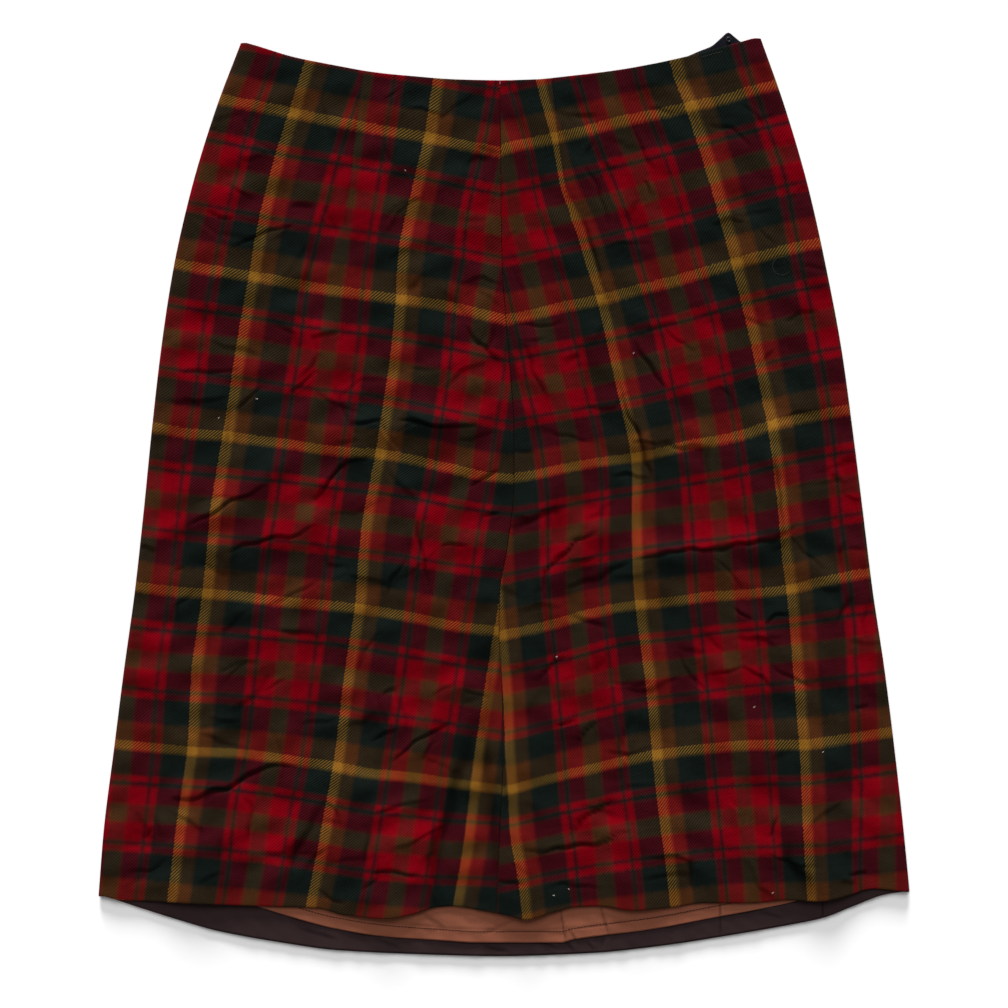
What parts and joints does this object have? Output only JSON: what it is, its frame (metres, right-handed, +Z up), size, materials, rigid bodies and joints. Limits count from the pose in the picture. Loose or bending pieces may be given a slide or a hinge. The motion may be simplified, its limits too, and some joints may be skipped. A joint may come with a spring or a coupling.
{
  "type": "a-line skirt",
  "caption": "Knee-length a-line skirt in wool tartan with a chevron-matched centre front seam, laid flat so that the lined back hem shows below the front.",
  "frame": {"origin": "on the surface that the skirt lies on, under the centre front seam and about halfway down it", "axes": "+X across the skirt to the side with the waist opening, +Y from hem to waist, +Z up from the surface"},
  "size_m": [0.5913, 0.6739, 0.0099],
  "materials": {
    "tartan": "brushed wool twill woven in a tartan of red, dark green, brown and gold",
    "hem_facing": "dark brown satin-backed facing",
    "lining": "plain rust lining with a soft sheen",
    "waist_facing": "near-black plain facing",
    "steel": "plated wire"
  },
  "bodies": {
    "root": {"front_left": "tartan", "front_right": "tartan", "back": "tartan", "hem_facing": "hem_facing", "lining": "lining", "waist_facing": "waist_facing", "waist_eye": "steel"}
  },
  "joints": []
}
